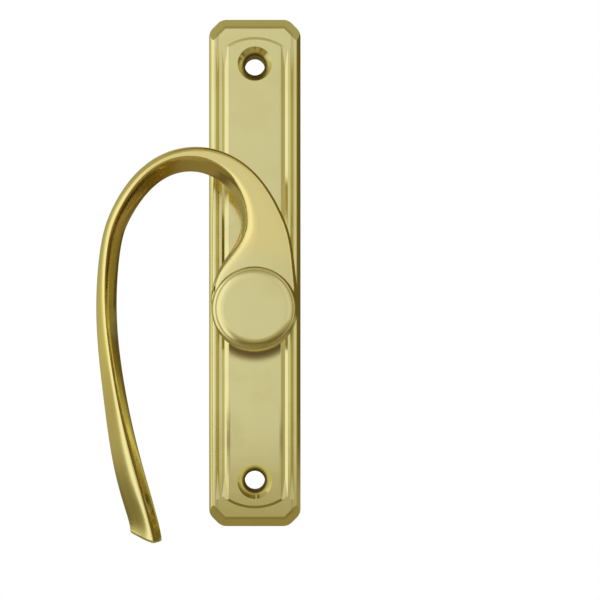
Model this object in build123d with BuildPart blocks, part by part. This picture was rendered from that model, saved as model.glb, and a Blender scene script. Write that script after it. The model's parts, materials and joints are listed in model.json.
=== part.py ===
from build123d import *
import math
import os

os.makedirs("parts", exist_ok=True)

# A sprung lever handle on a long backplate, for a french door.
# Millimetres. The door face is the plane Y = 0, the front looks along -Y, +Z is up,
# and the origin is on the spindle's axis. Heights are measured from the door face.

# Backplate
plate_width = 38.0
plate_length = 210.3
plate_centre = 15.85
plate_thickness = 10.0
hollow_gap = 0.44
front_wall = 3.4
corner_cut = 5.1
corner_round = 5.0
edge_round = 2.6
bevel_width = 4.3
bevel_drop = 1.6
flute_inset = 3.6
flute_width = 1.9
flute_depth = 0.95
flute_end_gap = 8.5
flute_run_out = 14.0
trough_inset = 6.5
trough_width = 3.4
trough_depth = 0.6
trough_end_gap = 8.5
trough_run_out = 12.0
groove_floor = 0.1
panel_rise = 0.2
panel_foot = 0.01
panel_end_gap = 7.7
panel_arch = 4.0
panel_slope = 1.1
screw_spacing = 172.8
screw_hole_radius = 4.2
countersink_radius = 7.1
countersink_angle = 90.0
screw_boss_radius = 8.6
collar_ledge = 0.6
collar_rise = 2.2
collar_round = 0.8

# Bearing
shank_radius = 9.0
bush_wall = 1.45
bush_flange = 1.0
bush_flange_width = 2.48
running_gap = 0.05
seat_gap = 0.02
boss_wall = 1.7
boss_end = 2.9

# Lever, heights of its front and back and the run of its centre line
lever_front = 44.0
lever_depth = 11.5
root_rise = -1.0
foot_set = 1.2
foot_rise = 12.0
neck_set = 3.5
neck_rise = 26.5
turn_set = 0.3
turn_rise = 41.2
shoulder_set = -9.7
shoulder_rise = 53.6
crest_set = -25.0
crest_rise = 58.2
bend_set = -46.7
bend_rise = 46.1
side_set = -54.7
side_rise = 29.5
grip_set = -57.8
grip_rise = 3.0
hang_set = -55.9
hang_drop = -25.0
taper_set = -51.6
taper_drop = -50.7
tip_set = -42.4
tip_drop = -88.2
tip_slant = 31.0
tip_round = 1.6
tip_ledge = 0.05

# Lever, hub and shank
hub_ring = 1.9
hub_rise = 0.7
hub_drop = 1.4
medallion_radius = 14.7
medallion_rise = 0.6
medallion_slope = 3.0
waist_radius = 10.6
foot_thickness = 1.4
shank_end = 0.2
shank_flat = 7.5
spindle_side = 8.0
spindle_clearance = 0.05
socket_top = 30.0

# Spring drive
washer_thickness = 0.5
cam_thickness = 1.0
cam_gap = 0.05
tab_clearance = 1.3
tab_thickness = 1.5
tab_half_width = 4.3
tab_top_gap = 0.4
wire_radius = 0.6
coil_gap = 0.58
coil_pitch = 1.25
spring_top_gap = 0.2
leg_end_x = 2.6
leg_overhang = 1.7
anchor_radius = 2.2
anchor_gap = 0.46
pin_bottom = 1.2
pin_seat = 1.0
pin_chamfer = 0.3
stop_radius = 1.2
stop_clearance = 0.5
stop_gap = 0.3
lever_travel = 45.0
ring_thickness = 0.6
ring_gap = 0.1
ring_width = 2.6
ring_mouth = 7.0
groove_depth = 1.0

# Spindle and grub screw
spindle_reach = 45.0
spindle_chamfer = 0.6
grub_radius = 2.5
grub_height = 20.0
grub_length = 5.6
grub_hex = 2.5
grub_hex_depth = 2.4


# Each station of the lever: share of the centre line's length, width, where the front ridge
# lies (shares of the width to its outer and inner ends, from the outer edge), and how far the
# ridge's outer end and the outer and inner shoulders lie behind the front
stations = [
    (0.00, 32.0, 0.07, 0.93, 0.0, 1.6, 1.6),
    (0.02, 33.6, 0.07, 0.93, 0.0, 1.6, 1.6),
    (0.045, 32.0, 0.06, 0.955, 0.0, 1.4, 3.0),
    (0.07, 28.4, 0.06, 0.945, 0.0, 1.2, 5.0),
    (0.10, 23.4, 0.06, 0.92, 0.0, 1.0, 7.0),
    (0.13, 19.0, 0.07, 0.87, 0.0, 1.0, 8.4),
    (0.16, 15.2, 0.08, 0.84, 0.0, 1.0, 9.0),
    (0.20, 12.4, 0.09, 0.77, 0.05, 1.1, 9.2),
    (0.245, 10.4, 0.10, 0.68, 0.15, 1.4, 9.2),
    (0.31, 8.4, 0.14, 0.56, 0.35, 2.0, 9.2),
    (0.39, 7.4, 0.19, 0.51, 0.6, 2.9, 9.2),
    (0.47, 7.0, 0.24, 0.52, 0.7, 3.7, 9.2),
    (0.54, 7.1, 0.28, 0.53, 0.65, 4.4, 9.2),
    (0.62, 7.4, 0.38, 0.60, 0.6, 5.3, 9.0),
    (0.705, 8.0, 0.49, 0.69, 0.6, 6.5, 8.4),
    (0.80, 9.4, 0.54, 0.75, 0.75, 7.3, 7.4),
    (0.90, 11.3, 0.55, 0.79, 1.0, 7.7, 6.4),
]
tip_shape = (12.9, 0.56, 0.81, 1.1, 7.9, 6.0)
tip_turns = [math.radians(angle) for angle in (20, 45, 70, 88)]
shoulder_depth = 1.4
back_share = 0.86
edge_softness = 0.3


def height_plane(height):
    return Plane.XZ.offset(height)


def plate_outline(inset):
    cut = corner_cut - inset * (2 - math.sqrt(2))
    outline = Rectangle(plate_width - 2 * inset, plate_length - 2 * inset)
    corners = chamfer(outline.vertices(), cut)
    fillet(corners.vertices(), corner_round * cut / corner_cut)


def plate_plane(height):
    return Plane(origin=(0, -height, plate_centre), x_dir=(1, 0, 0), z_dir=(0, -1, 0))


def edge_plane(x, z, angle):
    out = Vector(math.cos(math.radians(angle)), 0, math.sin(math.radians(angle)))
    return Plane(origin=(x, 0, plate_centre + z), x_dir=out, z_dir=(out.Z, 0, -out.X))


def front_edges(part):
    return part.faces().sort_by(Axis.Y)[0].edges()


rim_height = plate_thickness - panel_rise
half_width = plate_width / 2
half_length = plate_length / 2
bevel_places = [(0, side * half_length, side * 90) for side in (-1, 1)]
for angle in (45, 135, 225, 315):
    corner_x = math.copysign(half_width - corner_cut / 2, math.cos(math.radians(angle)))
    corner_z = math.copysign(half_length - corner_cut / 2, math.sin(math.radians(angle)))
    bevel_places.append((corner_x, corner_z, angle))
side_grooves = [
    (flute_inset, flute_width, flute_depth, flute_end_gap, flute_run_out),
    (trough_inset, trough_width, trough_depth, trough_end_gap, trough_run_out),
]
collar_height = plate_thickness + collar_rise
cavity_floor = plate_thickness - front_wall
bush_radius = shank_radius + running_gap + bush_wall
bore_radius = bush_radius + seat_gap
boss_radius = bore_radius + boss_wall
foot_radius = bore_radius + bush_flange_width
collar_radius = foot_radius + collar_ledge
coil_radius = boss_radius + coil_gap + wire_radius
tab_inner = coil_radius + wire_radius + tab_clearance
tab_outer = tab_inner + tab_thickness
anchor_drop = math.hypot(tab_outer, tab_half_width) + anchor_gap + anchor_radius
stop_circle = coil_radius + wire_radius + stop_clearance + stop_radius
screw_places = [plate_centre - screw_spacing / 2, plate_centre + screw_spacing / 2]
stop_angle = lever_travel + math.degrees(
    math.atan2(tab_half_width, tab_inner) + (stop_radius + stop_gap) / stop_circle
)
stop_places = [
    (
        side * stop_circle * math.sin(math.radians(stop_angle)),
        -stop_circle * math.cos(math.radians(stop_angle)),
    )
    for side in (-1, 1)
]
plate_wall = half_width - stop_places[1][0] - stop_radius - hollow_gap

# Backplate: rounded sides, bevelled ends, grooves beside a raised panel, hollow behind
with BuildPart() as backplate:
    with BuildSketch(plate_plane(0)):
        plate_outline(0)
    extrude(amount=rim_height)
    fillet(front_edges(backplate), edge_round)
    for x, z, angle in bevel_places:
        with BuildSketch(edge_plane(x, z, angle)):
            with BuildLine():
                Polyline(
                    (-bevel_width, rim_height),
                    (bevel_width, rim_height - 2 * bevel_drop),
                    (bevel_width, rim_height),
                    close=True,
                )
            make_face()
        extrude(amount=half_width, both=True, mode=Mode.SUBTRACT)
    with BuildSketch(plate_plane(rim_height)):
        with BuildLine():
            panel_half = half_width - trough_inset
            panel_end = half_length - panel_end_gap
            right = Line((panel_half, panel_arch - panel_end), (panel_half, panel_end - panel_arch))
            top = ThreePointArc(right @ 1, (0, panel_end), (-panel_half, panel_end - panel_arch))
            left = Line(top @ 1, (-panel_half, panel_arch - panel_end))
            ThreePointArc(left @ 1, (0, -panel_end), right @ 0)
        make_face()
    extrude(amount=panel_rise)
    panel_front = backplate.faces().sort_by(Axis.Y)[0]
    chamfer(panel_front.edges(), panel_slope, panel_rise - panel_foot, reference=panel_front)
    for inset, width, depth, end_gap, run_out in side_grooves:
        for side in (-1, 1):
            with BuildSketch(plate_plane(plate_thickness)):
                with Locations((side * (half_width - inset), 0)):
                    Rectangle(width, plate_length - 2 * end_gap)
            with BuildSketch(plate_plane(plate_thickness - depth)):
                with Locations((side * (half_width - inset), 0)):
                    Rectangle(groove_floor, plate_length - 2 * (end_gap + run_out))
            loft(ruled=True, mode=Mode.SUBTRACT)
    with BuildSketch(height_plane(cavity_floor)):
        Circle(collar_radius)
    extrude(amount=collar_height - cavity_floor)
    fillet(front_edges(backplate), collar_round)
    with BuildSketch(plate_plane(0)):
        plate_outline(plate_wall)
    extrude(amount=cavity_floor, mode=Mode.SUBTRACT)
    with BuildSketch(height_plane(0)):
        with Locations(*[(0, place) for place in screw_places]):
            Circle(screw_boss_radius)
    extrude(amount=cavity_floor)
    with BuildSketch(height_plane(boss_end)):
        Circle(boss_radius)
    extrude(amount=cavity_floor - boss_end)
    with BuildSketch(height_plane(boss_end)):
        Circle(bore_radius)
    extrude(amount=collar_height - boss_end, mode=Mode.SUBTRACT)
    with BuildSketch(height_plane(cavity_floor)):
        with Locations((0, -anchor_drop)):
            Circle(anchor_radius + seat_gap)
        with Locations(*stop_places):
            Circle(stop_radius + seat_gap)
    extrude(amount=pin_seat, mode=Mode.SUBTRACT)
    screw_planes = [Plane(origin=(0, -plate_thickness, z), z_dir=(0, -1, 0)) for z in screw_places]
    with Locations(*screw_planes):
        CounterSinkHole(screw_hole_radius, countersink_radius, plate_thickness, countersink_angle)

backplate.part.label = "backplate"
export_step(backplate.part, "parts/backplate.step")

# Bearing bush, pressed into the bore from the front
foot_bottom = collar_height + bush_flange
with BuildPart() as neck_bush:
    with BuildSketch(height_plane(boss_end)):
        Circle(bush_radius)
    extrude(amount=collar_height - boss_end)
    with BuildSketch(height_plane(collar_height)):
        Circle(foot_radius)
    extrude(amount=bush_flange)
    with BuildSketch(height_plane(boss_end)):
        Circle(shank_radius + running_gap)
    extrude(amount=foot_bottom - boss_end, mode=Mode.SUBTRACT)

neck_bush.part.label = "neck_bush"
export_step(neck_bush.part, "parts/neck_bush.step")

# Lever: one forging of grip, loop, neck, hub and shank
washer_bottom = boss_end - washer_thickness
cam_top = washer_bottom - cam_gap
cam_bottom = cam_top - cam_thickness
ring_top = cam_bottom - ring_gap
ring_bottom = ring_top - ring_thickness
groove_radius = shank_radius - groove_depth
groove_top = ring_top + seat_gap
groove_bottom = ring_bottom - seat_gap
socket_side = spindle_side + 2 * spindle_clearance
grub_plane = Plane(origin=(0, -grub_height, 0), x_dir=(1, 0, 0), z_dir=(0, 0, -1))
lever_back = lever_front - lever_depth
hub_radius = medallion_radius + hub_ring
hub_front = lever_front + hub_rise
hub_shoulder = hub_front - hub_ring
hub_back = lever_back - hub_drop
medallion_front = hub_front + medallion_rise
medallion_round = (medallion_slope**2 + medallion_rise**2) / (2 * medallion_rise)

with BuildLine(Plane.XZ) as centre_line:
    run = Spline(
        (0, root_rise),
        (foot_set, foot_rise),
        (neck_set, neck_rise),
        (turn_set, turn_rise),
        (shoulder_set, shoulder_rise),
        (crest_set, crest_rise),
        (bend_set, bend_rise),
        (side_set, side_rise),
        (grip_set, grip_rise),
        (hang_set, hang_drop),
        (taper_set, taper_drop),
        (tip_set, tip_drop),
    )


def station_plane(share, slant=0, advance=0):
    along = (run % share).rotate(Axis.Y, slant)
    place = run @ share + along * advance
    across = Vector(-along.Z, 0, along.X)
    return Plane(origin=(place.X, 0, place.Z), x_dir=across, z_dir=along)


def station_outline(width, ridge_from, ridge_to, ridge_drop, outer_drop, inner_drop, inset=0):
    outer = inset - width / 2
    inner = width / 2 - inset
    front = lever_front - inset
    back = lever_back + inset
    corners = [
        (outer, front - outer_drop),
        (ridge_from * width - width / 2, front - ridge_drop),
        (ridge_to * width - width / 2, front),
        (inner, front - inner_drop),
        (inner, front - inner_drop - shoulder_depth),
        (inner * back_share, back),
        (outer * back_share, back),
        (outer, front - outer_drop - shoulder_depth),
    ]
    corners = [Vector(*corner) for corner in corners]
    for before, corner, after in zip(corners[-1:] + corners[:-1], corners, corners[1:] + corners[:1]):
        side_before = (before - corner) * edge_softness
        side_after = (after - corner) * edge_softness
        Bezier(corner + side_before, corner, corner + side_after)
        Line(corner + side_after, after - side_after)


with BuildPart() as lever:
    with BuildSketch(Plane.XY):
        with BuildLine():
            Line((0, -medallion_front), (medallion_radius - medallion_slope, -medallion_front))
            RadiusArc(
                (medallion_radius - medallion_slope, -medallion_front),
                (medallion_radius, -hub_front),
                -medallion_round,
            )
            RadiusArc((medallion_radius, -hub_front), (hub_radius, -hub_shoulder), -hub_ring)
            Line((hub_radius, -hub_shoulder), (hub_radius, -hub_back))
            flare = ThreePointArc(
                (hub_radius, -hub_back),
                (waist_radius, -grub_height),
                (foot_radius, -foot_bottom - foot_thickness),
            )
            Polyline(
                flare @ 1,
                (foot_radius, -foot_bottom),
                (shank_radius, -foot_bottom),
                (shank_radius, -groove_top),
                (groove_radius, -groove_top),
                (groove_radius, -groove_bottom),
                (shank_radius, -groove_bottom),
                (shank_radius, -shank_end),
                (0, -shank_end),
                (0, -medallion_front),
            )
        make_face()
    revolve(axis=Axis.Y)
    with BuildSketch(height_plane(shank_end)):
        Rectangle(2 * shank_radius, 2 * shank_radius)
        Rectangle(2 * shank_flat, 2 * shank_radius, mode=Mode.SUBTRACT)
    extrude(amount=washer_bottom - shank_end, mode=Mode.SUBTRACT)
    with BuildSketch(height_plane(shank_end)):
        Rectangle(socket_side, socket_side)
    extrude(amount=socket_top - shank_end, mode=Mode.SUBTRACT)
    with BuildSketch(grub_plane):
        Circle(grub_radius + seat_gap)
    extrude(amount=hub_radius, mode=Mode.SUBTRACT)
    for share, *shape in stations:
        with BuildSketch(station_plane(share)):
            with BuildLine():
                station_outline(*shape)
            make_face()
    with BuildSketch(station_plane(1, tip_slant)):
        with BuildLine():
            station_outline(*tip_shape)
        make_face()
    loft()
    for turn in tip_turns:
        advance = tip_round * (math.sin(turn) - math.sin(tip_turns[0]))
        inset = tip_ledge + tip_round * (math.cos(tip_turns[0]) - math.cos(turn))
        with BuildSketch(station_plane(1, tip_slant, advance)):
            with BuildLine():
                station_outline(*tip_shape, inset)
            make_face()
    loft()

lever.part.label = "lever"
export_step(lever.part, "parts/lever.step")

# Thrust washer, between the boss and the drive cam
with BuildPart() as thrust_washer:
    with BuildSketch(height_plane(washer_bottom)):
        Circle(boss_radius)
        Circle(shank_radius + running_gap, mode=Mode.SUBTRACT)
    extrude(amount=washer_thickness)

thrust_washer.part.label = "thrust_washer"
export_step(thrust_washer.part, "parts/thrust_washer.step")

# Drive cam, keyed to the shank's flats, with the tab that pushes the spring's legs
tab_top = cavity_floor - tab_top_gap
with BuildPart() as drive_cam:
    with BuildSketch(height_plane(cam_bottom)):
        Circle(boss_radius)
        with Locations((0, -tab_outer)):
            Rectangle(2 * tab_half_width, tab_outer, align=(Align.CENTER, Align.MIN))
        with BuildSketch(mode=Mode.SUBTRACT):
            Circle(shank_radius + running_gap)
            key_width = 2 * (shank_flat + running_gap)
            Rectangle(key_width, 3 * shank_radius, mode=Mode.INTERSECT)
    extrude(amount=cam_thickness)
    with BuildSketch(height_plane(cam_bottom)):
        with Locations((0, -tab_outer)):
            Rectangle(2 * tab_half_width, tab_thickness, align=(Align.CENTER, Align.MIN))
    extrude(amount=tab_top - cam_bottom)

drive_cam.part.label = "drive_cam"
export_step(drive_cam.part, "parts/drive_cam.step")

# Return spring: a coil round the boss, whose legs close on the tab and the anchor pin.
# The coil starts straight below the axis and is turned back from there to its first leg.
leg_end_drop = anchor_drop + leg_overhang
leg_reach = math.hypot(leg_end_x, leg_end_drop)
leg_angle = math.degrees(math.atan2(leg_end_x, leg_end_drop) + math.acos(coil_radius / leg_reach)) - 90
coil_turns = 1 + (180 - 2 * leg_angle) / 360
coil_rise = coil_pitch * coil_turns
leg_length = math.sqrt(leg_reach**2 - coil_radius**2)
leg_rise = leg_length * coil_pitch / (2 * math.pi * coil_radius)
coil_start = cavity_floor - spring_top_gap - wire_radius - leg_rise - coil_rise
with BuildPart() as return_spring:
    with BuildLine() as wire_run:
        coil = Helix(coil_pitch, coil_rise, coil_radius, (0, -coil_start, 0), (0, -1, 0), mode=Mode.PRIVATE)
        coil = coil.rotate(Axis.Y, -90 - leg_angle)
        add(coil)
        Line(coil @ 0, coil @ 0 - (coil % 0) * leg_length)
        Line(coil @ 1, coil @ 1 + (coil % 1) * leg_length)
    with BuildSketch(Plane(origin=wire_run.wire() @ 0, z_dir=wire_run.wire() % 0)):
        Circle(wire_radius)
    sweep(path=wire_run.wire(), is_frenet=True)

return_spring.part.label = "return_spring"
export_step(return_spring.part, "parts/return_spring.step")

# Retaining ring, open on one side, in the shank's groove
with BuildPart() as retaining_ring:
    with BuildSketch(height_plane(ring_bottom)):
        Circle(groove_radius + seat_gap + ring_width)
        Circle(groove_radius + seat_gap, mode=Mode.SUBTRACT)
        with Locations((0, -groove_radius)):
            Rectangle(ring_mouth, groove_radius, mode=Mode.SUBTRACT)
    extrude(amount=ring_thickness)

retaining_ring.part.label = "retaining_ring"
export_step(retaining_ring.part, "parts/retaining_ring.step")

# Anchor pin and stop pins, pressed into the plate's front wall
pin_top = cavity_floor + pin_seat
with BuildPart() as anchor_pin:
    with BuildSketch(height_plane(pin_bottom)):
        with Locations((0, -anchor_drop)):
            Circle(anchor_radius)
    extrude(amount=pin_top - pin_bottom)
    chamfer(anchor_pin.edges().sort_by(Axis.Y)[-1], pin_chamfer)

anchor_pin.part.label = "anchor_pin"
export_step(anchor_pin.part, "parts/anchor_pin.step")

with BuildPart() as stop_pins:
    with BuildSketch(height_plane(pin_bottom)):
        with Locations(*stop_places):
            Circle(stop_radius)
    extrude(amount=pin_top - pin_bottom)
    chamfer(stop_pins.edges().group_by(Axis.Y)[-1], pin_chamfer)

stop_pins.part.label = "stop_pins"
export_step(stop_pins.part, "parts/stop_pins.step")

# Square spindle, from the lever's socket into the lock
with BuildPart() as spindle:
    with BuildSketch(height_plane(-spindle_reach)):
        Rectangle(spindle_side, spindle_side)
    extrude(amount=spindle_reach + socket_top - spindle_clearance)
    chamfer(spindle.faces().filter_by(Axis.Y).edges(), spindle_chamfer)

spindle.part.label = "spindle"
export_step(spindle.part, "parts/spindle.step")

# Grub screw, through the waist from below onto the spindle
with BuildPart() as grub_screw:
    with BuildSketch(grub_plane.offset(spindle_side / 2)):
        Circle(grub_radius)
    extrude(amount=grub_length)
    with BuildSketch(grub_plane.offset(spindle_side / 2 + grub_length)):
        RegularPolygon(grub_hex / 2, 6, major_radius=False)
    extrude(amount=-grub_hex_depth, mode=Mode.SUBTRACT)

grub_screw.part.label = "grub_screw"
export_step(grub_screw.part, "parts/grub_screw.step")
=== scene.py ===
import json
import math
import bpy
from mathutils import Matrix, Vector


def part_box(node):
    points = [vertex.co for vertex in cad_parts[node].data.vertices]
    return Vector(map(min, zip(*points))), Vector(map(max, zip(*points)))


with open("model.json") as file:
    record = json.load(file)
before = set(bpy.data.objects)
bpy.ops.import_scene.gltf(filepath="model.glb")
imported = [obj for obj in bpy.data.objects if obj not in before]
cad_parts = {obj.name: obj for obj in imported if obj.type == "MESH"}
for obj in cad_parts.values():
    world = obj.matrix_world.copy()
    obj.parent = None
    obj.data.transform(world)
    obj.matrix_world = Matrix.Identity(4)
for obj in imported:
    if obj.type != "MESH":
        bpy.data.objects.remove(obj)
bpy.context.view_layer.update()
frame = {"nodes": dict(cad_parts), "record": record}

nodes = frame["nodes"]
bpy.ops.object.select_all(action="DESELECT")
print("frame loaded:", len(nodes), "nodes")

# Camera, level with the lower part of the plate and square to it
cameraSetup = {
    "place": (0.00132, -0.479, -0.0128),
    "turn": (math.radians(90), 0, 0),
    "lens": 68.1,
    "sensor": 36,
    "shift": (0.07, 0.07),
    "clip": (0.01, 50),
}
bpy.ops.object.camera_add(location=cameraSetup["place"], rotation=cameraSetup["turn"])
camera = bpy.context.object
camera.name = "camera"
camera.data.lens = cameraSetup["lens"]
camera.data.sensor_width = cameraSetup["sensor"]
camera.data.shift_x, camera.data.shift_y = cameraSetup["shift"]
camera.data.clip_start, camera.data.clip_end = cameraSetup["clip"]
bpy.context.scene.camera = camera
bpy.context.scene.view_settings.view_transform = "Standard"
print("camera set")


def addNode(tree, kind, **values):
    node = tree.nodes.new(kind)
    for name, value in values.items():
        setattr(node, name, value)
    return node


def feed(tree, socket, value):
    if isinstance(value, (int, float)):
        socket.default_value = value
    elif isinstance(value, tuple):
        socket.default_value = value + (1,) if socket.type == "RGBA" and len(value) == 3 else value
    else:
        tree.links.new(value, socket)


def mathNode(tree, operation, *values):
    node = addNode(tree, "ShaderNodeMath", operation=operation)
    for socket, value in zip(node.inputs, values):
        feed(tree, socket, value)
    return node.outputs[0]


def vectorNode(tree, operation, *values, result="Vector"):
    node = addNode(tree, "ShaderNodeVectorMath", operation=operation)
    for socket, value in zip(node.inputs, values):
        feed(tree, socket, value)
    return node.outputs[result]


def allOf(tree, mask, *others):  # where every mask holds
    for other in others:
        mask = mathNode(tree, "MULTIPLY", mask, other)
    return mask


def anyOf(tree, mask, *others):  # the strongest mask
    for other in others:
        mask = mathNode(tree, "MAXIMUM", mask, other)
    return mask


def remap(tree, value, fromLow, fromHigh, toLow=0, toHigh=1):
    node = addNode(tree, "ShaderNodeMapRange", interpolation_type="SMOOTHSTEP")
    limits = {"Value": value, "From Min": fromLow, "From Max": fromHigh, "To Min": toLow, "To Max": toHigh}
    for name, limit in limits.items():
        feed(tree, node.inputs[name], limit)
    return node.outputs["Result"]


def mixColour(tree, factor, first, second):
    node = addNode(tree, "ShaderNodeMix", data_type="RGBA")
    for socket, value in zip((node.inputs[0], node.inputs[6], node.inputs[7]), (factor, first, second)):
        feed(tree, socket, value)
    return node.outputs[2]


def colourRamp(tree, factor, stops):
    node = addNode(tree, "ShaderNodeValToRGB")
    ramp = node.color_ramp
    while len(ramp.elements) < len(stops):
        ramp.elements.new(0.5)
    for element, (place, colour) in zip(ramp.elements, stops):
        element.position = place
        element.color = colour + (1,)
    feed(tree, node.inputs["Fac"], factor)
    return node.outputs["Color"]


def stretched(tree, vector, scale):
    mapping = addNode(tree, "ShaderNodeMapping")
    feed(tree, mapping.inputs["Vector"], vector)
    mapping.inputs["Scale"].default_value = scale
    return mapping.outputs["Vector"]


def noise(tree, vector, scale, detail):
    node = addNode(tree, "ShaderNodeTexNoise")
    feed(tree, node.inputs["Vector"], vector)
    node.inputs["Scale"].default_value = scale
    node.inputs["Detail"].default_value = detail
    return node.outputs["Fac"]


def splitVector(tree, vector):
    node = addNode(tree, "ShaderNodeSeparateXYZ")
    feed(tree, node.inputs[0], vector)
    return node.outputs


def onlySeen(tree):
    rays = addNode(tree, "ShaderNodeLightPath").outputs
    return anyOf(tree, rays["Is Camera Ray"], rays["Is Glossy Ray"], rays["Is Transmission Ray"])


# World: plain white behind everything, softer as fill light
worldSetup = {"fill": 0.75, "white": 1.0}
world = bpy.data.worlds.new("studio")
bpy.context.scene.world = world
world.use_nodes = True
tree = world.node_tree
background = tree.nodes["Background"]
background.inputs["Color"].default_value = (1, 1, 1, 1)
strength = remap(tree, onlySeen(tree), 0, 1, worldSetup["fill"], worldSetup["white"])
feed(tree, background.inputs["Strength"], strength)

# Reflection tent: the pale and dark cards that polished metal sees round it.
# Turns run from behind on the left (0) past the camera (0.5) to behind on the right (1),
# tiers are heights on a tent of radius 1. The window keeps the left pale low down, and the
# right wall stays dark high up.
tentSetup = {
    "radius": 1.6,
    "segments": 48,
    "rings": 24,
    "round": [
        (0.00, (0.16, 0.13, 0.06)),
        (0.15, (0.44, 0.43, 0.24)),
        (0.20, (0.58, 0.57, 0.34)),
        (0.26, (0.70, 0.71, 0.52)),
        (0.31, (0.88, 0.89, 0.86)),
        (0.36, (1.00, 0.99, 0.99)),
        (0.43, (0.95, 0.94, 0.95)),
        (0.47, (0.74, 0.74, 0.74)),
        (0.50, (0.67, 0.67, 0.67)),
        (0.54, (0.63, 0.63, 0.62)),
        (0.575, (0.74, 0.74, 0.71)),
        (0.605, (0.56, 0.52, 0.38)),
        (0.63, (0.28, 0.22, 0.09)),
        (0.67, (0.15, 0.11, 0.03)),
        (1.00, (0.12, 0.09, 0.03)),
    ],
    "tiers": [
        {"colour": (0.40, 0.37, 0.22), "from": 0.42, "to": 0.66},
        {"colour": (0.14, 0.11, 0.04), "from": 0.88, "to": 0.97},
        {"colour": (0.40, 0.355, 0.22), "from": -0.10, "to": -0.21},
        {"colour": (0.17, 0.14, 0.06), "from": -0.22, "to": -0.42},
        {"colour": (0.30, 0.25, 0.12), "from": -0.46, "to": -0.60},
        {"colour": (0.40, 0.34, 0.18), "from": -0.84, "to": -0.97},
    ],
    "windowLeft": (0.165, 0.32),
    "windowRight": (0.475, 0.43),
    "windowSill": (-0.55, -0.38),
    "rightWall": (0.68, 0.61),
    "hiddenFrom": ("camera", "diffuse", "transmission", "shadow", "volume_scatter"),
}
bpy.ops.mesh.primitive_uv_sphere_add(
    segments=tentSetup["segments"], ring_count=tentSetup["rings"], radius=tentSetup["radius"]
)
tent = bpy.context.object
tent.name = "reflectionTent"
for ray in tentSetup["hiddenFrom"]:
    setattr(tent, "visible_" + ray, False)
tentPaper = bpy.data.materials.new("tentPaper")
tentPaper.use_nodes = True
tree = tentPaper.node_tree
tree.nodes.clear()
vector = addNode(tree, "ShaderNodeTexCoord").outputs["Object"]
parts = splitVector(tree, vectorNode(tree, "NORMALIZE", vector))
turn = mathNode(tree, "ARCTAN2", parts["X"], mathNode(tree, "MULTIPLY", parts["Y"], -1))
turn = mathNode(tree, "MULTIPLY_ADD", turn, 0.5 / math.pi, 0.5)
paper = colourRamp(tree, turn, tentSetup["round"])
window = allOf(
    tree,
    remap(tree, turn, *tentSetup["windowLeft"]),
    remap(tree, turn, *tentSetup["windowRight"]),
    remap(tree, parts["Z"], *tentSetup["windowSill"]),
)
lowShade = mathNode(tree, "SUBTRACT", 1, window)
highShade = remap(tree, turn, *tentSetup["rightWall"])
for tier in tentSetup["tiers"]:
    share = remap(tree, parts["Z"], tier["from"], tier["to"])
    share = allOf(tree, share, lowShade if tier["from"] < 0 else highShade)
    paper = mixColour(tree, share, paper, tier["colour"])
glow = addNode(tree, "ShaderNodeEmission")
feed(tree, glow.inputs["Color"], paper)
feed(tree, addNode(tree, "ShaderNodeOutputMaterial").inputs["Surface"], glow.outputs[0])
tent.data.materials.append(tentPaper)

# Floor, well below the plate, fading into the white behind
floorSetup = {
    "height": -0.2,
    "size": 12,
    "fade": (0.16, 0.34),
    "colour": (0.86, 0.86, 0.85),
    "rough": 0.9,
    "gloss": 0.1,
}
bpy.ops.mesh.primitive_plane_add(size=floorSetup["size"], location=(0, 0, floorSetup["height"]))
floor = bpy.context.object
floor.name = "floor"
floor.visible_glossy = False
floorPaint = bpy.data.materials.new("floorPaint")
floorPaint.use_nodes = True
tree = floorPaint.node_tree
matte = tree.nodes["Principled BSDF"]
matte.inputs["Base Color"].default_value = floorSetup["colour"] + (1,)
matte.inputs["Roughness"].default_value = floorSetup["rough"]
matte.inputs["Specular IOR Level"].default_value = floorSetup["gloss"]
vector = addNode(tree, "ShaderNodeTexCoord").outputs["Object"]
fade = remap(tree, vectorNode(tree, "LENGTH", vector, result="Value"), *floorSetup["fade"])
white = addNode(tree, "ShaderNodeEmission")
white.inputs["Color"].default_value = (1, 1, 1, 1)
blend = addNode(tree, "ShaderNodeMixShader")
feed(tree, blend.inputs["Fac"], allOf(tree, fade, onlySeen(tree)))
feed(tree, blend.inputs[1], matte.outputs[0])
feed(tree, blend.inputs[2], white.outputs[0])
feed(tree, tree.nodes["Material Output"].inputs["Surface"], blend.outputs[0])
floor.data.materials.append(floorPaint)

# Lamps: a broad key from the upper left, a weak fill from the right
lampSetup = {
    "keyLamp": {"place": (-0.7, -0.6, 0.6), "size": 0.8, "power": 5.0},
    "fillLamp": {"place": (0.8, -0.5, 0.2), "size": 0.7, "power": 1.5},
}
for name, setup in lampSetup.items():
    bpy.ops.object.light_add(type="AREA", location=setup["place"])
    lamp = bpy.context.object
    lamp.name = name
    lamp.data.size = setup["size"]
    lamp.data.energy = setup["power"]
    lamp.rotation_euler = (-lamp.location).to_track_quat("-Z", "Y").to_euler()
    lamp.visible_glossy = False
print("studio lit")


def newGroup(name, outputs):
    group = bpy.data.node_groups.new(name, "ShaderNodeTree")
    group.interface.new_socket("Vector", in_out="INPUT", socket_type="NodeSocketVector")
    for output in outputs:
        group.interface.new_socket(output, in_out="OUTPUT", socket_type="NodeSocketFloat")
    vector = addNode(group, "NodeGroupInput").outputs["Vector"]
    return group, vector, addNode(group, "NodeGroupOutput").inputs


def useGroup(tree, group, vector):
    node = addNode(tree, "ShaderNodeGroup", node_tree=group)
    feed(tree, node.inputs["Vector"], vector)
    return node.outputs


def newMaterial(name):
    material = bpy.data.materials.new(name)
    material.use_nodes = True
    tree = material.node_tree
    vector = addNode(tree, "ShaderNodeTexCoord").outputs["Object"]
    return material, tree, tree.nodes["Principled BSDF"], vector


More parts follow.
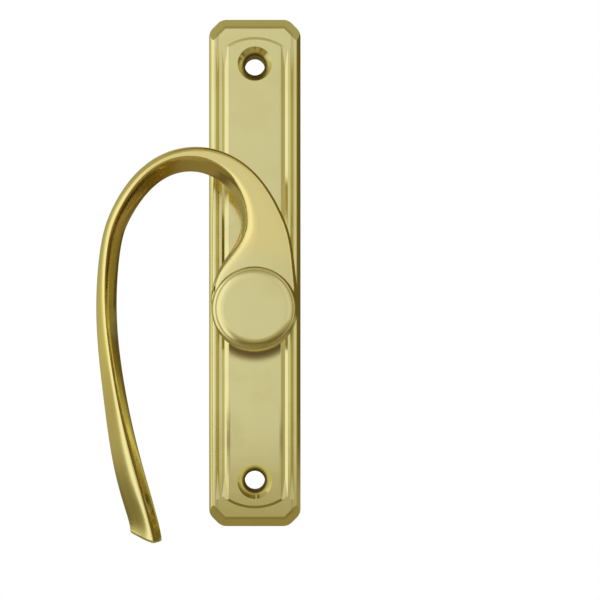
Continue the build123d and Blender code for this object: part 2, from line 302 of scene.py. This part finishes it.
def addBump(tree, shader, height, distance, strength):
    bump = addNode(tree, "ShaderNodeBump")
    bump.inputs["Distance"].default_value = distance
    bump.inputs["Strength"].default_value = strength
    feed(tree, bump.inputs["Height"], height)
    feed(tree, shader.inputs["Normal"], bump.outputs["Normal"])


def bandMask(tree, value, middle, half, core=0.4):  # full over the core share of the half width
    away = mathNode(tree, "ABSOLUTE", mathNode(tree, "SUBTRACT", value, middle))
    return remap(tree, away, half, half * core)


def flatDistance(tree, across, along):
    squares = mathNode(tree, "MULTIPLY_ADD", along, along, mathNode(tree, "MULTIPLY", across, across))
    return mathNode(tree, "SQRT", squares)


def ringWaves(tree, value, ringsPerMetre):
    return mathNode(tree, "SINE", mathNode(tree, "MULTIPLY", value, ringsPerMetre))


# Hand polish, shared by both brass pieces: smudges, hairlines along the buffing and slow waves
polishSetup = {
    "smudge": (60, 4),  # noise scale and detail, as in the other noises here
    "smudgeEdge": (0.42, 0.7),
    "hairlineStretch": (2600, 2600, 110),
    "hairline": (1, 3),
    "wave": (130, 1),
}
polishMarks, vector, ends = newGroup("polishMarks", ("Smudge", "Hairline", "Wave"))
smudge = noise(polishMarks, vector, *polishSetup["smudge"])
feed(polishMarks, ends["Smudge"], remap(polishMarks, smudge, *polishSetup["smudgeEdge"]))
buffed = stretched(polishMarks, vector, polishSetup["hairlineStretch"])
feed(polishMarks, ends["Hairline"], noise(polishMarks, buffed, *polishSetup["hairline"]))
feed(polishMarks, ends["Wave"], noise(polishMarks, vector, *polishSetup["wave"]))

# Mill skin, shared by the steel pieces: blotches and fine grain
millSetup = {"blotch": (220, 3), "blotchEdge": (0.38, 0.66), "grain": (2400, 2)}
millSkin, vector, ends = newGroup("millSkin", ("Blotch", "Grain"))
blotch = noise(millSkin, vector, *millSetup["blotch"])
feed(millSkin, ends["Blotch"], remap(millSkin, blotch, *millSetup["blotchEdge"]))
feed(millSkin, ends["Grain"], noise(millSkin, vector, *millSetup["grain"]))

# Sand cast skin, for the plate's hollow back
castSetup = {"pit": (1100, 4), "stain": (90, 3), "stainEdge": (0.35, 0.7)}
castSkin, vector, ends = newGroup("castSkin", ("Pit", "Stain"))
feed(castSkin, ends["Pit"], noise(castSkin, vector, *castSetup["pit"]))
stain = noise(castSkin, vector, *castSetup["stain"])
feed(castSkin, ends["Stain"], remap(castSkin, stain, *castSetup["stainEdge"]))

brassSetup = {
    "bright": (0.887, 0.82, 0.39),
    "smudge": (0.83, 0.73, 0.31),
    "smudgeShare": 0.35,
    # painted shade colour, shared by every dark mark on both brass pieces
    "shadeAndGrime": (0.30, 0.22, 0.08),
    "rough": (0.10, 0.17),  # clean, smudged
    "hairlineRough": 0.03,
    "shadeAndGrimeRough": 0.38,
    "hairlineHeight": 0.006,
    "bump": (0.00004, 0.5),  # distance, strength
}


def brassFinish(tree, shader, vector, shadeAndGrime):
    marks = useGroup(tree, polishMarks, vector)
    smudged = mathNode(tree, "MULTIPLY", marks["Smudge"], brassSetup["smudgeShare"])
    colour = mixColour(tree, smudged, brassSetup["bright"], brassSetup["smudge"])
    # the mask mixes in a darker brown painted as shade, and also roughens the brass there
    colour = mixColour(tree, shadeAndGrime, colour, brassSetup["shadeAndGrime"])
    rough = remap(tree, marks["Smudge"], 0, 1, *brassSetup["rough"])
    rough = mathNode(tree, "MULTIPLY_ADD", marks["Hairline"], brassSetup["hairlineRough"], rough)
    rough = mathNode(tree, "MULTIPLY_ADD", shadeAndGrime, brassSetup["shadeAndGrimeRough"], rough)
    height = mathNode(tree, "MULTIPLY_ADD", marks["Hairline"], brassSetup["hairlineHeight"], marks["Wave"])
    shader.inputs["Metallic"].default_value = 1
    return colour, rough, height


# Backplate: polished face, cast skin in the hollow, painted shade in the grooves and the screw holes and
# along the panel's foot, a painted shadow of the hub round the collar. Pairs run from where a mask starts to
# where it is full.
plateLow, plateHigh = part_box("backplate")
screwMount = next(mount for mount in frame["record"]["mounts"] if mount["name"] == "screw_holes")
plateSetup = {
    "halfWidth": (plateHigh[0] - plateLow[0]) / 2,
    "halfLength": (plateHigh[2] - plateLow[2]) / 2,
    "middle": (plateHigh[2] + plateLow[2]) / 2,
    "cornerCut": 0.0051,
    "face": (-0.0066, -0.0070),
    "grooveInset": 0.0036,
    "grooveHalf": 0.0007,
    "grooveShade": 0.25,
    "holeStep": screwMount["dims"]["spacing_y_mm"] / 2000,
    "hole": (0.0056, 0.0041),
    # dark colour painted as shade in the screw holes
    "holeShade": (0.16, 0.11, 0.035),
    "sink": (0.0072, 0.0069),
    "sinkRings": 26000,
    "sinkHeight": 0.04,
    "collar": (0.0222, 0.0178),
    "panelSide": (0.0081, 0.0085),
    "panelFoot": 0.0081,
    "panelFootHalf": 0.0010,
    "panelFootEnd": (0.0105, 0.0135),
    "patches": (32, 1),  # noise scale, detail
    "patchEdge": (0.30, 0.62),
    "panelFootDrop": (-0.030, -0.064),
    "panelFootDropShade": (0.06, 0.8),  # least, most
    "hollowSide": (0.0027, 0.0029),
    "hollowDepth": (-0.0070, -0.0068),
    "cast": (0.52, 0.42, 0.18),
    "castStain": (0.30, 0.23, 0.10),
    "castRough": 0.55,
    "castHeight": 6,
}
plateBrass, tree, shader, vector = newMaterial("plateBrass")
parts = splitVector(tree, vector)
fromMiddle = mathNode(tree, "ABSOLUTE", mathNode(tree, "SUBTRACT", parts["Z"], plateSetup["middle"]))
sideInset = mathNode(tree, "SUBTRACT", plateSetup["halfWidth"], mathNode(tree, "ABSOLUTE", parts["X"]))
endInset = mathNode(tree, "SUBTRACT", plateSetup["halfLength"], fromMiddle)
cornerInset = mathNode(tree, "SUBTRACT", mathNode(tree, "ADD", sideInset, endInset), plateSetup["cornerCut"])
cornerInset = mathNode(tree, "MULTIPLY", cornerInset, math.sqrt(0.5))
inset = mathNode(tree, "MINIMUM", mathNode(tree, "MINIMUM", sideInset, endInset), cornerInset)
# painted shade along the groove
groove = allOf(
    tree,
    bandMask(tree, inset, plateSetup["grooveInset"], plateSetup["grooveHalf"]),
    remap(tree, parts["Y"], *plateSetup["face"]),
    plateSetup["grooveShade"],
)
holeDrop = mathNode(tree, "SUBTRACT", fromMiddle, plateSetup["holeStep"])
holeDistance = flatDistance(tree, parts["X"], holeDrop)
hole = remap(tree, holeDistance, *plateSetup["hole"])
# painted shadow of the hub on the panel round the collar
collar = allOf(
    tree,
    remap(tree, flatDistance(tree, parts["X"], parts["Z"]), *plateSetup["collar"]),
    remap(tree, inset, *plateSetup["panelSide"]),
)
# patchy painted shade along the panel's foot, stronger towards the bottom
panelFoot = allOf(
    tree,
    bandMask(tree, sideInset, plateSetup["panelFoot"], plateSetup["panelFootHalf"]),
    remap(tree, endInset, *plateSetup["panelFootEnd"]),
    remap(tree, noise(tree, vector, *plateSetup["patches"]), *plateSetup["patchEdge"]),
    remap(tree, parts["Z"], *plateSetup["panelFootDrop"], *plateSetup["panelFootDropShade"]),
)
# the plate's painted shade: grooves, screw holes, panel foot and the hub's shadow round the collar
shadeAndGrime = anyOf(tree, groove, hole, panelFoot, collar)
colour, rough, height = brassFinish(tree, shader, vector, shadeAndGrime)
# dark colour painted as shade in the screw holes
colour = mixColour(tree, hole, colour, plateSetup["holeShade"])
sinkRings = ringWaves(tree, holeDistance, plateSetup["sinkRings"])
sinkRings = allOf(tree, sinkRings, remap(tree, holeDistance, *plateSetup["sink"]))
height = mathNode(tree, "MULTIPLY_ADD", sinkRings, plateSetup["sinkHeight"], height)
hollow = allOf(
    tree,
    remap(tree, inset, *plateSetup["hollowSide"]),
    remap(tree, parts["Y"], *plateSetup["hollowDepth"]),
)
skin = useGroup(tree, castSkin, vector)
castColour = mixColour(tree, skin["Stain"], plateSetup["cast"], plateSetup["castStain"])
castRough = mathNode(tree, "MULTIPLY", hollow, plateSetup["castRough"])
feed(tree, shader.inputs["Base Color"], mixColour(tree, hollow, colour, castColour))
feed(tree, shader.inputs["Roughness"], anyOf(tree, rough, castRough))
pits = allOf(tree, hollow, skin["Pit"])
height = mathNode(tree, "MULTIPLY_ADD", pits, plateSetup["castHeight"], height)
addBump(tree, shader, height, *brassSetup["bump"])

# Lever: polished all over, a painted warm reflection outside the medallion, painted brown shade on the
# limb's inner side, painted shade at the medallion's foot, lathe rings on the shank
leverSetup = {
    "footRadius": 0.01480,
    "footHalf": 0.00045,
    "footFront": (-0.0440, -0.0443),
    "footShade": 0.5,
    "shank": (0.0095, 0.0093),
    "shankTop": (-0.0132, -0.0129),
    "shankRings": 9000,
    "shankHeight": 0.3,
    "shankRough": 0.15,
    "warmReflectionTint": (0.97, 0.82, 0.325),
    "warm": (0.0155, 0.028),
    "warmDrop": (-0.075, -0.010),
    "warmShare": (0.3, 0.85),
    "loopMiddle": (-0.030, -0.040, 0.030),
    # painted brown shade colour for the limb's inner side
    "loopShade": (0.50, 0.36, 0.12),
    "loopShadeFacing": (0.35, 0.85),
    "loopShadeDrop": (-0.045, -0.010),
    "loopShadeSide": (-0.018, -0.042),
    "loopShadeShare": (0.45, 1),
}
leverBrass, tree, shader, vector = newMaterial("leverBrass")
parts = splitVector(tree, vector)
fromAxis = flatDistance(tree, parts["X"], parts["Z"])
# painted shade at the medallion's foot
foot = allOf(
    tree,
    bandMask(tree, fromAxis, leverSetup["footRadius"], leverSetup["footHalf"]),
    remap(tree, parts["Y"], *leverSetup["footFront"]),
    leverSetup["footShade"],
)
colour, rough, height = brassFinish(tree, shader, vector, foot)
# painted warm reflection outside the medallion, weaker lower down
warm = allOf(
    tree,
    remap(tree, fromAxis, *leverSetup["warm"]),
    remap(tree, parts["Z"], *leverSetup["warmDrop"], *leverSetup["warmShare"]),
)
colour = mixColour(tree, warm, colour, leverSetup["warmReflectionTint"])
# painted brown shade on the limb's side that faces into the loop, weaker towards the right
inward = vectorNode(tree, "NORMALIZE", vectorNode(tree, "SUBTRACT", leverSetup["loopMiddle"], vector))
outward = addNode(tree, "ShaderNodeTexCoord").outputs["Normal"]
facing = vectorNode(tree, "DOT_PRODUCT", inward, outward, result="Value")
loopShade = allOf(
    tree,
    remap(tree, facing, *leverSetup["loopShadeFacing"]),
    remap(tree, parts["Z"], *leverSetup["loopShadeDrop"]),
    remap(tree, parts["X"], *leverSetup["loopShadeSide"], *leverSetup["loopShadeShare"]),
)
shank = allOf(
    tree,
    remap(tree, fromAxis, *leverSetup["shank"]),
    remap(tree, parts["Y"], *leverSetup["shankTop"]),
)
rings = allOf(tree, ringWaves(tree, parts["Y"], leverSetup["shankRings"]), shank)
feed(tree, shader.inputs["Base Color"], mixColour(tree, loopShade, colour, leverSetup["loopShade"]))
rough = mathNode(tree, "MULTIPLY_ADD", shank, leverSetup["shankRough"], rough)
feed(tree, shader.inputs["Roughness"], rough)
height = mathNode(tree, "MULTIPLY_ADD", rings, leverSetup["shankHeight"], height)
addBump(tree, shader, height, *brassSetup["bump"])
print("brass mixed")


def milledSkin(name, setup):
    material, tree, shader, vector = newMaterial(name)
    if "stretch" in setup:
        vector = stretched(tree, vector, setup["stretch"])
    skin = useGroup(tree, millSkin, vector)
    feed(tree, shader.inputs["Base Color"], mixColour(tree, skin["Blotch"], setup["pale"], setup["dull"]))
    feed(tree, shader.inputs["Roughness"], remap(tree, skin["Blotch"], 0, 1, *setup["rough"]))
    shader.inputs["Metallic"].default_value = setup["metal"]
    addBump(tree, shader, skin["Grain"], *setup["bump"])
    return material


# Steel and nylon of the hidden works
zincSetup = {
    "pale": (0.66, 0.67, 0.69),
    "dull": (0.50, 0.52, 0.50),
    "rough": (0.26, 0.42),
    "metal": 1,
    "bump": (0.00002, 0.4),
}
barSetup = {
    "pale": (0.64, 0.65, 0.67),
    "dull": (0.48, 0.50, 0.51),
    "rough": (0.24, 0.40),
    "metal": 1,
    "bump": (0.00002, 0.4),
    "stretch": (1, 0.03, 1),  # drawn along the bar
}
wireSetup = {
    "pale": (0.40, 0.41, 0.43),
    "dull": (0.26, 0.26, 0.28),
    "rough": (0.28, 0.40),
    "metal": 1,
    "bump": (0.00002, 0.4),
}
blackSetup = {
    "pale": (0.13, 0.13, 0.14),
    "dull": (0.06, 0.06, 0.07),
    "rough": (0.34, 0.52),
    "metal": 1,
    "bump": (0.00002, 0.4),
}
nylonSetup = {
    "pale": (0.82, 0.81, 0.76),
    "dull": (0.74, 0.72, 0.65),
    "rough": (0.38, 0.5),
    "metal": 0,
    "bump": (0.00002, 0.3),
}
zincPlate = milledSkin("zincPlate", zincSetup)
drawnBar = milledSkin("drawnBar", barSetup)
springWire = milledSkin("springWire", wireSetup)
blackSteel = milledSkin("blackSteel", blackSetup)
nylon = milledSkin("nylon", nylonSetup)

finishes = {
    "backplate": plateBrass,
    "lever": leverBrass,
    "neck_bush": nylon,
    "thrust_washer": zincPlate,
    "drive_cam": zincPlate,
    "return_spring": springWire,
    "retaining_ring": springWire,
    "anchor_pin": zincPlate,
    "stop_pins": zincPlate,
    "spindle": drawnBar,
    "grub_screw": blackSteel,
}
for name, finish in finishes.items():
    nodes[name].data.materials.clear()
    nodes[name].data.materials.append(finish)
print("finishes on:", len(finishes), "pieces")
